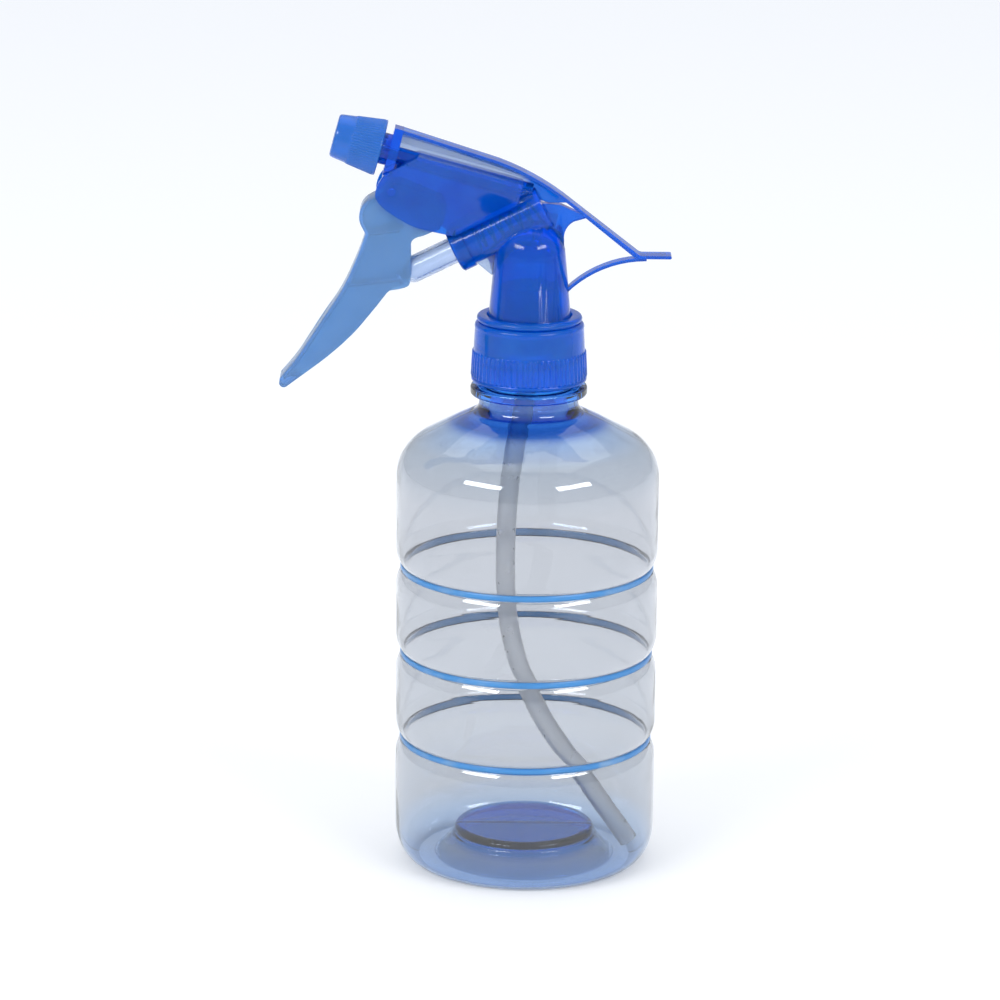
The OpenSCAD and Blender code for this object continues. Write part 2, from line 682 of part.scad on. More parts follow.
// Compression spring between the piston cup and the back of the bore
module return_spring() {
    seat_a = spring_a - 1.4 + spring_wire / 2 + rest_gap;
    length = bore_depth - seat_a - spring_wire / 2 - rest_gap;
    steps = spring_turns * 20;
    sides = 6;
    points = [for (i = [0:steps]) for (k = [0:sides - 1])
        let (a = 360 * spring_turns * i / steps, q = 360 * k / sides, r = spring_r + spring_wire / 2 * cos(q))
        [r * cos(a), r * sin(a), seat_a + length * i / steps + spring_wire / 2 * sin(q)]];
    walls = [for (i = [0:steps - 1]) for (k = [0:sides - 1])
        let (a = sides * i + k, b = sides * i + (k + 1) % sides)
        for (f = [[a, a + sides, b + sides], [a, b + sides, b]]) f];
    first_end = [for (k = [0:sides - 1]) k];
    last_end = [for (k = [sides - 1:-1:0]) sides * steps + k];
    color([0.6, 0.62, 0.66]) on_pump()
        polyhedron(points = points, faces = concat(walls, [first_end, last_end]));
}

// Plug in the shank: it holds the dip tube and seats the inlet ball
module tube_holder() {
    chamber_r = inlet_r + 0.35;
    plug_r = cavity_base_r - fit_gap;
    top_r = cavity_r(holder_top_z) - fit_gap;
    color([0.2, 0.45, 0.8]) difference() {
        rotate_extrude() polygon([[tube_r + fit_gap, socket_bottom_z], [tube_r + 1.4, socket_bottom_z],
            [tube_r + 1.8, skirt_z], [plug_r, skirt_z], [plug_r, closure_top_z], [top_r, holder_top_z],
            [inlet_r * 0.8, holder_top_z], [inlet_r * 0.8, chamber_top_z], [chamber_r, chamber_top_z],
            [chamber_r, seat_z + chamber_r - throat_r], [throat_r, seat_z], [throat_r, socket_top_z],
            [tube_r + fit_gap, socket_top_z]]);
        for (s = [0, 90])
            translate([0, 0, chamber_top_z + 1.1]) rotate([0, 0, s])
                cube([2 * inlet_r + 1.6, 1, 2.4], center = true);
    }
}

module inlet_ball() {
    color([0.75, 0.77, 0.8]) translate([0, 0, inlet_ball_z]) sphere(r = inlet_r);
}

module outlet_ball() {
    color([0.75, 0.77, 0.8]) on_spray(barrel_drop) translate([0, 0, outlet_ball_d / 2 - seat_u + rest_gap])
        sphere(r = outlet_ball_d / 2);
}

// ---- Nozzle ----

// Swirl insert: a head in the boss, a tip against the nozzle's front, and a stem that stops the outlet ball
module swirl_core() {
    stem_l = seat_u - outlet_ball_d - 2 * rest_gap - ball_lift;
    head_z = boss_l - 1.4;
    color([0.9, 0.92, 0.94]) {
        on_spray() rotate_extrude() polygon([[0, head_z], [swirl_r, head_z], [swirl_r, boss_l - 0.1],
            [swirl_tip_r, boss_l + 1.4], [swirl_tip_r, swirl_tip_z], [0, swirl_tip_z]]);
        on_spray(barrel_drop) translate([0, 0, -stem_l])
            cylinder(r = swirl_stem_r, h = stem_l + head_z + 0.4);
    }
}

module nozzle_seal() {
    color([0.92, 0.93, 0.9]) on_spray() tube(seal_r, swirl_r + 0.25, seal_z, seal_z + seal_t);
}

module nozzle_cap() {
    back_r = nozzle_back_d / 2;
    front_r = nozzle_front_d / 2;
    front_z = nozzle_z + nozzle_l;
    chamber_r = swirl_r + 0.25;
    shoulder_z = seal_z + seal_t + fit_gap;
    color([0.25, 0.48, 0.78]) on_spray() {
        rotate_extrude() polygon(concat(
            [[nozzle_bore_r, nozzle_z + 0.3], [nozzle_bore_r + 0.3, nozzle_z], [back_r, nozzle_z]],
            arc([front_r - 0.8, front_z - 0.8], 0.8, 8, 90, 4),
            [[1.9, front_z], [1.2, front_z - 0.5], [spray_hole_d / 2, front_z - 0.5],
                [spray_hole_d / 2, front_z - nozzle_wall], [chamber_r, front_z - nozzle_wall],
                [chamber_r, shoulder_z], [nozzle_bore_r, shoulder_z]]));
        ridge(nozzle_bore_r + 0.2, boss_root_r + 0.25, boss_ridge_w, boss_crest_w, boss_pitch,
            boss_thread_turns - 0.6, boss_thread_z + boss_pitch / 2);
    }
}

// ---- Dip tube ----

// The tube leaves the neck leaning towards the spray, straightens, and sweeps back to the heel of the bottle.
// Each station is [x, z, lean], where lean is the angle from straight down towards +X.
bend_end = [tube_bend_r * (cos(tube_lean) - 1), tube_bend_z - tube_bend_r * sin(tube_lean)];
upright = bend_end + [tube_return_r * (cos(tube_lean) - 1), -tube_return_r * sin(tube_lean)];
foot_gain = tube_foot_r * (1 - cos(tube_sweep));
last_l = (tube_end_x - upright[0] - foot_gain) / sin(tube_sweep);
foot_top_z = tube_end_z + last_l * cos(tube_sweep) + tube_foot_r * sin(tube_sweep);
stations = concat(
    [[0, socket_top_z - rest_gap, 0]],
    [for (i = [0:4]) let (a = tube_lean * i / 4)
        [tube_bend_r * (cos(a) - 1), tube_bend_z - tube_bend_r * sin(a), -a]],
    [for (i = [1:5]) let (a = tube_lean * (1 - i / 5))
        [upright[0] + tube_return_r * (1 - cos(a)), upright[1] + tube_return_r * sin(a), -a]],
    [for (i = [0:7]) let (a = tube_sweep * i / 7)
        [upright[0] + tube_foot_r * (1 - cos(a)), foot_top_z - tube_foot_r * sin(a), a]],
    [[tube_end_x, tube_end_z, tube_sweep]]);

module dip_tube() {
    sides = 12;
    points = [for (s = stations) for (r = [tube_r, tube_r - tube_wall]) for (k = [0:sides - 1])
        let (q = 360 * k / sides)
        [s[0] + r * cos(q) * cos(s[2]), r * sin(q), s[1] + r * cos(q) * sin(s[2])]];
    row = 2 * sides;
    walls = [for (i = [0:len(stations) - 2]) for (k = [0:sides - 1])
        let (a = row * i + k, b = row * i + (k + 1) % sides)
        for (f = [[a, b, b + row], [a, b + row, a + row],
            [a + sides, b + sides + row, b + sides], [a + sides, a + sides + row, b + sides + row]]) f];
    foot = row * (len(stations) - 1);
    ends = [for (k = [0:sides - 1]) let (a = k, b = (k + 1) % sides)
        for (f = [[a, b + sides, b], [a, a + sides, b + sides],
            [foot + a, foot + b, foot + b + sides], [foot + a, foot + b + sides, foot + a + sides]]) f];
    color([0.86, 0.88, 0.9]) polyhedron(points = points, faces = concat(walls, ends));
}

bottle();
band_lower();
band_middle();
band_upper();
closure();
neck_gasket();
pump_body();
trigger();
trigger_pin();
plunger();
piston_cup();
cylinder_collar();
return_spring();
tube_holder();
inlet_ball();
outlet_ball();
swirl_core();
nozzle_seal();
nozzle_cap();
dip_tube();
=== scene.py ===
# %% [markdown]
# # A trigger spray bottle
# The bottle is clear polyester, blown in a mould, and the sprayer on it is blue polypropylene, moulded in
# thin walls that let light through. Both are see-through, so every wall here is a closed solid with its
# real thickness, and light is bent and tinted by each one as it is in the real thing. First the measured
# model comes in. Its parts set all the sizes, and each piece below rides on one of its bodies.

# %% Load the measured model
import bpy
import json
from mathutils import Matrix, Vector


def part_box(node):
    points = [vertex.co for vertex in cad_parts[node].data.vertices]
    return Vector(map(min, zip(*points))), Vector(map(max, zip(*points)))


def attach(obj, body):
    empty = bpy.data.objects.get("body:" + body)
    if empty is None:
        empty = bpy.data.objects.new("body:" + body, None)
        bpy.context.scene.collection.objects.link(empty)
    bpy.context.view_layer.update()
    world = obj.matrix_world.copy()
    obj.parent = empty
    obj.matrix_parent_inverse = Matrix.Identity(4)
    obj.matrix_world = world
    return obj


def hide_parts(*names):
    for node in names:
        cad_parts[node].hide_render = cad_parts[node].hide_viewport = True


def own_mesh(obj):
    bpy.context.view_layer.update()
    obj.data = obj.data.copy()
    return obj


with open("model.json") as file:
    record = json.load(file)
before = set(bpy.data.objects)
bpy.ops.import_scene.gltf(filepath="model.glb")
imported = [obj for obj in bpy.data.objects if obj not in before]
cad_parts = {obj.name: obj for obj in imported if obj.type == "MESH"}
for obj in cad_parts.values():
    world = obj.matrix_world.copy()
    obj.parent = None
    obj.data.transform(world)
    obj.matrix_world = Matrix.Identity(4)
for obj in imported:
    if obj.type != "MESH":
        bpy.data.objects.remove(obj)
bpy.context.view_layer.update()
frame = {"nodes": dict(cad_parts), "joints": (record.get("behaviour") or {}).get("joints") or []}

import json
import math
import bmesh
import bpy
from mathutils import Matrix, Vector

# %% [markdown]
# ## Units and small tools
# Sizes are written in millimetres, as on a drawing, and turned to metres where a mesh is made. A round
# part is built standing on +Z and then laid along its own axis, because a profile is easier to read that
# way.

# %% Units, corners and arcs
MM = 0.001


def arc(centre, radius, start, end, steps):
    """Points on an arc, in degrees, both ends included."""
    turns = [math.radians(start + (end - start) * i / steps) for i in range(steps + 1)]
    return [(centre[0] + radius * math.cos(t), centre[1] + radius * math.sin(t)) for t in turns]


def softened(points, radius, steps=3):
    """A closed outline with each corner cut round by up to that radius."""
    out = []
    count = len(points)
    for i in range(count):
        before, here, after = (Vector(points[(i + k) % count]) for k in (-1, 0, 1))
        a, b = before - here, after - here
        if here.x < 1e-6 or a.length < 1e-6 or b.length < 1e-6:
            out.append(tuple(here))
            continue
        cut = min(radius, 0.45 * a.length, 0.45 * b.length)
        p, q = here + a.normalized() * cut, here + b.normalized() * cut
        for k in range(steps + 1):
            t = k / steps
            out.append(tuple(p * (1 - t) ** 2 + here * 2 * t * (1 - t) + q * t * t))
    return out


def divided(points, longest):
    """A closed outline with its long sides divided, so that shading stays even along them."""
    out = []
    for i, here in enumerate(points):
        after = points[(i + 1) % len(points)]
        parts = max(1, math.ceil(math.dist(here, after) / longest))
        out += [(here[0] + (after[0] - here[0]) * k / parts, here[1] + (after[1] - here[1]) * k / parts)
                for k in range(parts)]
    return out


# %% Turn a profile round +Z
def turned(name, profile, segments):
    """A closed solid of revolution from a closed profile of (radius, height) points, in millimetres."""
    verts, rings = [], []
    for r, z in profile:
        if r < 1e-6:
            rings.append([len(verts)] * segments)
            verts.append((0, 0, z * MM))
        else:
            rings.append(list(range(len(verts), len(verts) + segments)))
            angles = [2 * math.pi * k / segments for k in range(segments)]
            verts += [(r * MM * math.cos(a), r * MM * math.sin(a), z * MM) for a in angles]
    faces = []
    for i, ring in enumerate(rings):
        other = rings[(i + 1) % len(rings)]
        for k in range(segments):
            n = (k + 1) % segments
            face = []
            for v in (ring[k], ring[n], other[n], other[k]):
                if v not in face:
                    face.append(v)
            if len(face) > 2:
                faces.append(face)
    mesh = bpy.data.meshes.new(name)
    mesh.from_pydata(verts, [], faces)
    piece = bpy.data.objects.new(name, mesh)
    bpy.context.scene.collection.objects.link(piece)
    return piece


# %% [markdown]
# A piece is finished the same way each time. Its doubled points are merged and its faces turned outwards,
# it is shaded smooth except across real edges, and it is handed to the body that it moves with.

# %% Finish a piece
def finished(piece, body, material, stands_for=(), place=None, edge=40):
    """Merges, turns outwards, shades, places and hands a piece to its body."""
    mesh = piece.data
    form = bmesh.new()
    form.from_mesh(mesh)
    if place is not None:
        form.transform(place)
    bmesh.ops.remove_doubles(form, verts=form.verts, dist=1e-6)
    bmesh.ops.recalc_face_normals(form, faces=form.faces)
    form.to_mesh(mesh)
    form.free()
    mesh.shade_smooth()
    mesh.set_sharp_from_angle(angle=math.radians(edge))
    mesh.materials.clear()
    mesh.materials.append(material)
    for face in mesh.polygons:
        face.material_index = 0
    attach(piece, body)
    if stands_for:
        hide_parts(*stands_for)
    print(f"{piece.name}: {len(mesh.polygons)} faces on {body}")
    return piece


# %% [markdown]
# ## The axes of the round parts
# The nozzle and the pump each lie along an axis of their own. The record's joints say where those axes
# are, so the places below are read from it: the plunger's slide runs up the pump, and the nozzle turns
# about the spray line.

# %% Read the two axes from the joints
joints = {joint["name"]: joint for joint in frame["joints"]}
PUMP_AXIS = Vector(joints["plunger_slide"]["axis"])
SPRAY_AXIS = Vector(joints["nozzle_turn"]["axis"])
NOSE = Vector(joints["nozzle_turn"]["pos_m"])


def laid(axis, foot):
    """The place of a part that was built on +Z, laid along an axis in the XZ plane from its foot."""
    side = Vector((0, 1, 0))
    return Matrix.Translation(foot) @ Matrix((side.cross(axis), side, axis)).transposed().to_4x4()


# The collar's middle lies a little outside the cylinder's mouth, and the bore is measured from the mouth.
BORE_DEPTH, COLLAR_PAST_MOUTH = 25, 0.2
collar_low, collar_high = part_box("cylinder_collar")
cylinder_mouth = (collar_low + collar_high) / 2 - PUMP_AXIS * COLLAR_PAST_MOUTH * MM
print("pump rises", round(math.degrees(math.asin(PUMP_AXIS.z)), 1), "degrees")

# %% [markdown]
# ## Nodes for what repeats
# Grip ribs, nozzle flutes and screw threads all follow a rule, so Geometry Nodes make them: a rule has
# sizes that can be changed in one place. Each tree moves the points of a turned part in or out along its
# own radius. One small function adds any node, sets it up and links it.

# %% Add a node to any tree
def add(tree, kind, into=None, **settings):
    """Adds a node. into gives its inputs by name or number: a socket is linked, and a value is set."""
    made = tree.nodes.new(kind)
    for key, value in settings.items():
        setattr(made, key, value)
    for key, value in (into or {}).items():
        if isinstance(value, bpy.types.NodeSocket):
            tree.links.new(value, made.inputs[key])
        else:
            made.inputs[key].default_value = value
    return made.outputs


def rule(name, sizes):
    """A Geometry Nodes tree with a mesh, a material and named sizes as inputs."""
    tree = bpy.data.node_groups.new(name, "GeometryNodeTree")
    tree.interface.new_socket("Mesh", in_out="INPUT", socket_type="NodeSocketGeometry")
    for size in sizes:
        tree.interface.new_socket(size, in_out="INPUT", socket_type="NodeSocketFloat")
    tree.interface.new_socket("Finish", in_out="INPUT", socket_type="NodeSocketMaterial")
    tree.interface.new_socket("Mesh", in_out="OUTPUT", socket_type="NodeSocketGeometry")
    return tree, add(tree, "NodeGroupInput")


def ends(tree, mesh, finish):
    """The last nodes of every tree: real faces, and one material on them."""
    real = add(tree, "GeometryNodeRealizeInstances", {0: mesh})
    painted = add(tree, "GeometryNodeSetMaterial", {"Geometry": real[0], "Material": finish})
    add(tree, "NodeGroupOutput", {0: painted[0]})


def round_the_axis(tree):
    """For each point: its height, the direction outwards from +Z, its distance from +Z and its angle."""
    here = add(tree, "ShaderNodeSeparateXYZ", {0: add(tree, "GeometryNodeInputPosition")[0]})
    across = add(tree, "ShaderNodeCombineXYZ", {0: here[0], 1: here[1], 2: 0.0})[0]
    outwards = add(tree, "ShaderNodeVectorMath", {0: across}, operation="NORMALIZE")[0]
    radius = add(tree, "ShaderNodeVectorMath", {0: across}, operation="LENGTH")[1]
    angle = add(tree, "ShaderNodeMath", {0: here[1], 1: here[0]}, operation="ARCTAN2")[0]
    return here[2], outwards, radius, angle


def moved_outwards(tree, sized, outwards, shares):
    """The end of a rule: each point moves outwards by the rule's depth times all of its shares."""
    amount = shares[0]
    for share in shares[1:] + [sized["Depth"]]:
        amount = add(tree, "ShaderNodeMath", {0: amount, 1: share}, operation="MULTIPLY")[0]
    move = add(tree, "ShaderNodeVectorMath", {0: outwards, "Scale": amount}, operation="SCALE")[0]
    moved = add(tree, "GeometryNodeSetPosition", {"Geometry": sized["Mesh"], "Offset": move})[0]
    ends(tree, moved, sized["Finish"])
    print("rule ready:", tree.name)


def shaped(piece, tree, material, **sizes):
    """Runs a rule on a piece and keeps the result as a plain mesh."""
    modifier = piece.modifiers.new(tree.name, "NODES")
    modifier.node_group = tree
    for item in tree.interface.items_tree:
        if item.in_out == "INPUT" and item.name != "Mesh":
            modifier[item.identifier] = material if item.name == "Finish" else float(sizes[item.name])
    depsgraph = bpy.context.evaluated_depsgraph_get()
    piece.data = bpy.data.meshes.new_from_object(piece.evaluated_get(depsgraph), depsgraph=depsgraph)
    piece.modifiers.clear()
    return piece


# %% [markdown]
# The ribs are a wave round the axis. Its top and bottom are clipped flat, so a rib has a crest and two
# flanks, and the wave fades out above and below the grip. Only points on the outside move, so the bore
# stays round.

# %% Rule: ribs round a part
ribs, sized = rule("grip_ribs", ["Count", "Depth", "Low", "High", "Fade", "Outside", "Sharpness"])
height, outwards, radius, angle = round_the_axis(ribs)
phase = add(ribs, "ShaderNodeMath", {0: angle, 1: sized["Count"]}, operation="MULTIPLY")[0]
wave = add(ribs, "ShaderNodeMath", {0: phase}, operation="SINE")[0]
steep = add(ribs, "ShaderNodeMath", {0: wave, 1: sized["Sharpness"], 2: 0.5},
            operation="MULTIPLY_ADD", use_clamp=True)[0]
full_low = add(ribs, "ShaderNodeMath", {0: sized["Low"], 1: sized["Fade"]}, operation="ADD")[0]
above = add(ribs, "ShaderNodeMapRange", {0: height, 1: sized["Low"], 2: full_low})[0]
full_high = add(ribs, "ShaderNodeMath", {0: sized["High"], 1: sized["Fade"]}, operation="SUBTRACT")[0]
below = add(ribs, "ShaderNodeMapRange", {0: height, 1: sized["High"], 2: full_high})[0]
outside = add(ribs, "ShaderNodeMath", {0: radius, 1: sized["Outside"]}, operation="GREATER_THAN")[0]
moved_outwards(ribs, sized, outwards, [steep, above, below, outside])

# %% [markdown]
# A screw thread is the same idea with a slope: at each angle the ridge sits a little higher, and one turn
# later it has climbed one pitch. A point's height above the ridge's middle line, divided by the ridge's
# flank, gives how far out it goes. A negative depth cuts the thread inwards, as inside the closure.

# %% Rule: a screw thread
thread, sized = rule("screw_thread", ["Start", "Pitch", "Turns", "Depth", "Foot", "Crest", "From", "To"])
FADE_TURNS = 0.12
height, outwards, radius, angle = round_the_axis(thread)
full_turns = add(thread, "ShaderNodeMath", {0: angle, 1: 2 * math.pi}, operation="DIVIDE")[0]
part_turn = add(thread, "ShaderNodeMath", {0: full_turns, 1: 1.0}, operation="FLOORED_MODULO")[0]
climbed = add(thread, "ShaderNodeMath", {0: height, 1: sized["Start"]}, operation="SUBTRACT")[0]
turns_up = add(thread, "ShaderNodeMath", {0: climbed, 1: sized["Pitch"]}, operation="DIVIDE")[0]
turns_below = add(thread, "ShaderNodeMath", {0: turns_up, 1: part_turn}, operation="SUBTRACT")[0]
whole = add(thread, "ShaderNodeMath", {0: turns_below}, operation="ROUND")[0]
along = add(thread, "ShaderNodeMath", {0: whole, 1: part_turn}, operation="ADD")[0]
turns_off = add(thread, "ShaderNodeMath", {0: turns_up, 1: along}, operation="SUBTRACT")[0]
off_line = add(thread, "ShaderNodeMath", {0: turns_off, 1: sized["Pitch"]}, operation="MULTIPLY")[0]
distance = add(thread, "ShaderNodeMath", {0: off_line}, operation="ABSOLUTE")[0]
ridge = add(thread, "ShaderNodeMapRange", {0: distance, 1: sized["Foot"], 2: sized["Crest"]})[0]
starts = add(thread, "ShaderNodeMapRange", {0: along, 1: 0.0, 2: FADE_TURNS})[0]
left = add(thread, "ShaderNodeMath", {0: sized["Turns"], 1: along}, operation="SUBTRACT")[0]
stops = add(thread, "ShaderNodeMapRange", {0: left, 1: 0.0, 2: FADE_TURNS})[0]
over = add(thread, "ShaderNodeMath", {0: radius, 1: sized["From"]}, operation="GREATER_THAN")[0]
under = add(thread, "ShaderNodeMath", {0: radius, 1: sized["To"]}, operation="LESS_THAN")[0]
moved_outwards(thread, sized, outwards, [ridge, starts, stops, over, under])

# %% [markdown]
# ## Finishes
# Each finish starts from the real material. Colours are given as sRGB hex values and turned to linear
# once. The patterns read Object coordinates, in metres, so a pattern's scale is one over its size. The
# head's see-through web is only about a millimetre thick, so hardly any colour builds up in it. A mask
# finds its two flat faces, near the middle plane and in front of the neck's axis, and gives them a paler
# colour.

# %% Colour and the moulded finish
def colour(code, alpha=1.0):
    """An sRGB hex colour as linear numbers."""
    parts = [int(code[i:i + 2], 16) / 255 for i in (0, 2, 4)]
    return tuple(c / 12.92 if c <= 0.04045 else ((c + 0.055) / 1.055) ** 2.4 for c in parts) + (alpha,)


def per(size_mm):
    """The scale of a pattern whose detail has that size in millimetres."""
    return 1 / (size_mm * MM)


def blank(name):
    """A material with an empty tree and its output node."""
    material = bpy.data.materials.new(name)
    material.use_nodes = True
    material.node_tree.nodes.clear()
    return material, material.node_tree


def surface(tree, shader, volume=None):
    """Links a shader, and a volume where there is one, to the material's output."""
    add(tree, "ShaderNodeOutputMaterial", {"Surface": shader} | ({"Volume": volume} if volume else {}))


def moulded(name, light, deep, clear, rough, tint, density, flow=6.0, grain=0.35, ior=1.49, web=None):
    """A plastic moulded in thin walls. light and deep are its colour range, clear the share of light it lets
    through, tint and density what its thickness takes out, flow the size of the melt's flow marks in mm and
    grain the size of the mould's fine texture. web is the paler colour of a thin web in the middle plane."""
    material, tree = blank(name)
    place = add(tree, "ShaderNodeTexCoord")["Object"]
    marks = add(tree, "ShaderNodeTexNoise",
                {"Vector": place, "Scale": per(flow), "Detail": 3.0, "Roughness": 0.55})[0]
    texture = add(tree, "ShaderNodeTexNoise", {"Vector": place, "Scale": per(grain), "Detail": 2.0})[0]
    shade = add(tree, "ShaderNodeMapRange", {0: marks, 1: 0.3, 2: 0.7})[0]
    mixed = add(tree, "ShaderNodeMix", {0: shade, 6: colour(light), 7: colour(deep)}, data_type="RGBA")[2]
    if web is not None:
        at = add(tree, "ShaderNodeSeparateXYZ", {0: place})
        front = add(tree, "ShaderNodeMapRange", {0: at[0], 1: 0.0, 2: -3 * MM})[0]
        faces = add(tree, "ShaderNodeSeparateXYZ", {0: add(tree, "ShaderNodeTexCoord")["Normal"]})[1]
        near = add(tree, "ShaderNodeMath", {0: at[1], 1: 0.0, 2: 0.6 * MM}, operation="COMPARE")[0]
        flat = add(tree, "ShaderNodeMath", {0: faces, 1: 0.0, 2: 0.7}, operation="COMPARE")[0]
        thin = add(tree, "ShaderNodeMath", {0: near, 1: flat}, operation="SUBTRACT", use_clamp=True)[0]
        thin = add(tree, "ShaderNodeMath", {0: thin, 1: front}, operation="MULTIPLY")[0]
        mixed = add(tree, "ShaderNodeMix", {0: thin, 6: mixed, 7: colour(web)}, data_type="RGBA")[2]
    gloss = add(tree, "ShaderNodeMapRange",
                {0: marks, 1: 0.25, 2: 0.75, 3: rough * 0.85, 4: rough * 1.15})[0]
    skin = add(tree, "ShaderNodeBump", {"Height": texture, "Strength": 0.12, "Distance": 0.02 * MM})[0]
    wavy = add(tree, "ShaderNodeBump",
               {"Height": marks, "Strength": 0.25, "Distance": 0.08 * MM, "Normal": skin})[0]
    shader = add(tree, "ShaderNodeBsdfPrincipled",
                 {"Base Color": mixed, "Roughness": gloss, "Normal": wavy,
                  "Transmission Weight": clear, "IOR": ior})[0]
    volume = add(tree, "ShaderNodeVolumeAbsorption", {"Color": colour(tint), "Density": density})[0]
    surface(tree, shader, volume)
    return material


# Polypropylene, injection moulded: milky blue with a satin skin, so it glows where light comes through it.
# Its light bends less than the real plastic's here, which shows more of what is behind a thin wall.
body_pp = moulded("body_polypropylene_moulded", "0A80EC", "0472E2", 0.72, 0.1, "4FA0FF", 220,
                  ior=1.38, web="CCDEF2")
closure_pp = moulded("closure_polypropylene_moulded", "0A84F2", "0478EA", 0.66, 0.14, "4FA0FF", 160,
                     ior=1.38)
trigger_pp = moulded("trigger_polypropylene_moulded", "84B8E6", "7AB0E0", 0.7, 0.22, "84B4F8", 120,
                     ior=1.45)
nozzle_pp = moulded("nozzle_polypropylene_moulded", "328AE8", "2A82E0", 0.55, 0.2, "5A98FF", 120,
                    ior=1.45)
# Natural polypropylene, moulded without colour: nearly clear, a little milky, with glossy skin.
natural_pp = moulded("natural_polypropylene_moulded", "E6F0FF", "D5E4FA", 0.9, 0.12, "C8DCFF", 60)
# Low-density polyethylene, soft and white, for the seals.
soft_seal = moulded("seal_polyethylene_moulded", "EDEFF0", "E2E6EA", 0.1, 0.4, "FFFFFF", 1)
# Polyethylene tube, drawn through a die: milky, with a faintly uneven skin.
tube_pe = moulded("tube_polyethylene_extruded", "FFFFFF", "F8FAFD", 0.85, 0.3, "DDE4EE", 5,
                  flow=3.0, ior=1.35)

# %% [markdown]
# The blown polyester is nearly colourless where the wall is thin. The neck and the base are several times
# thicker, and there the blue tint shows, so the colour follows the height, and the distance from the axis
# under the push-up. A narrow dark blue ring on the neck's rounded foot is painted shade: the round foot
# bends light like a lens and looks dark there, and that darkness is painted into the colour.

# %% The blown bottle and its bands
bottle_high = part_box("bottle")[1]
PUSH_UP_IN, PUSH_UP_OUT, PUSH_UP_TOP = 19.5, 21.5, 13


def blown_polyester():
    """Clear polyester, blown: polished, faintly wavy, with the mould's parting line down two sides. Bluer
    where thick, with painted shade in a dark ring at the neck's foot.
    """
    material, tree = blank("bottle_polyester_blown")
    place = add(tree, "ShaderNodeTexCoord")["Object"]
    at = add(tree, "ShaderNodeSeparateXYZ", {0: place})
    height = add(tree, "ShaderNodeMath", {0: at[2], 1: 1 / bottle_high.z}, operation="MULTIPLY")[0]
    climb = add(tree, "ShaderNodeValToRGB", {0: height})
    ramp = tree.nodes[-1].color_ramp
    # Heights as shares of the bottle's: bluer where the wall is thick, and at 0.832 and 0.85 painted shade,
    # a dark ring on the neck's foot.
    stops = [(0.0, "B4D0F4"), (0.03, "C6DAF2"), (0.075, "DEE0E2"), (0.70, "DFE0E2"), (0.79, "CCD4DC"),
             (0.822, "BBD4F4"), (0.832, "2F74DC"), (0.85, "3F82E4"), (0.862, "9CC6F6"), (0.876, "86B8F4"),
             (0.884, "1496FF"), (0.9, "389CF8"), (1.0, "8FB9E8")]
    while len(ramp.elements) < len(stops):
        ramp.elements.new(0.5)
    for element, (where, shade) in zip(ramp.elements, stops):
        element.position = where
        element.color = colour(shade)
    flat = add(tree, "ShaderNodeCombineXYZ", {0: at[0], 1: at[1], 2: 0.0})[0]
    radius = add(tree, "ShaderNodeVectorMath", {0: flat}, operation="LENGTH")[1]
    middle = add(tree, "ShaderNodeMapRange", {0: radius, 1: PUSH_UP_OUT * MM, 2: PUSH_UP_IN * MM})[0]
    low = add(tree, "ShaderNodeMapRange", {0: at[2], 1: PUSH_UP_TOP * MM, 2: (PUSH_UP_TOP - 1) * MM})[0]
    thick = add(tree, "ShaderNodeMath", {0: middle, 1: low}, operation="MULTIPLY")[0]
    thick_tint_and_painted_shade = add(tree, "ShaderNodeMix", {0: thick, 6: climb[0], 7: colour("1E8CF4")}, data_type="RGBA")[2]
    waves = add(tree, "ShaderNodeTexNoise", {"Vector": place, "Scale": per(22), "Detail": 2.0})[0]
    scuffs = add(tree, "ShaderNodeTexNoise",
                 {"Vector": place, "Scale": per(5), "Detail": 5.0, "Roughness": 0.7})[0]
    gloss = add(tree, "ShaderNodeMapRange", {0: scuffs, 1: 0.5, 2: 0.8, 3: 0.015, 4: 0.08})[0]
    seam_off = add(tree, "ShaderNodeMath", {0: at[1]}, operation="ABSOLUTE")[0]
    seam = add(tree, "ShaderNodeMapRange", {0: seam_off, 1: 0.5 * MM, 2: 0.1 * MM})[0]
    ridge = add(tree, "ShaderNodeBump", {"Height": seam, "Strength": 0.6, "Distance": 0.1 * MM})[0]
    skin = add(tree, "ShaderNodeBump",
               {"Height": waves, "Strength": 0.5, "Distance": 0.5 * MM, "Normal": ridge})[0]
    shader = add(tree, "ShaderNodeBsdfPrincipled",
                 {"Base Color": thick_tint_and_painted_shade, "Roughness": gloss, "Normal": skin,
                  "Transmission Weight": 1.0, "IOR": 1.57})[0]
    tint = add(tree, "ShaderNodeVolumeAbsorption", {"Color": colour("9FC2F2"), "Density": 60.0})[0]
    surface(tree, shader, tint)
    return material


def painted_band():
    """Translucent blue enamel in the groove, a little thinner in some stretches than in others."""
    material, tree = blank("band_enamel_rolled")
    place = add(tree, "ShaderNodeTexCoord")["Object"]
    patches = add(tree, "ShaderNodeTexNoise", {"Vector": place, "Scale": per(16), "Detail": 3.0})[0]
    thin = add(tree, "ShaderNodeMapRange", {0: patches, 1: 0.54, 2: 0.68})[0]
    mixed = add(tree, "ShaderNodeMix", {0: thin, 6: colour("5CB0F2"), 7: colour("9CCAF4")},
                data_type="RGBA")[2]
    brush = add(tree, "ShaderNodeTexNoise", {"Vector": place, "Scale": per(0.8), "Detail": 3.0})[0]
    skin = add(tree, "ShaderNodeBump", {"Height": brush, "Strength": 0.3, "Distance": 0.05 * MM})[0]
    shader = add(tree, "ShaderNodeBsdfPrincipled",
                 {"Base Color": mixed, "Roughness": 0.28, "Normal": skin,
                  "Transmission Weight": 0.6, "IOR": 1.4})[0]
    surface(tree, shader)
    return material


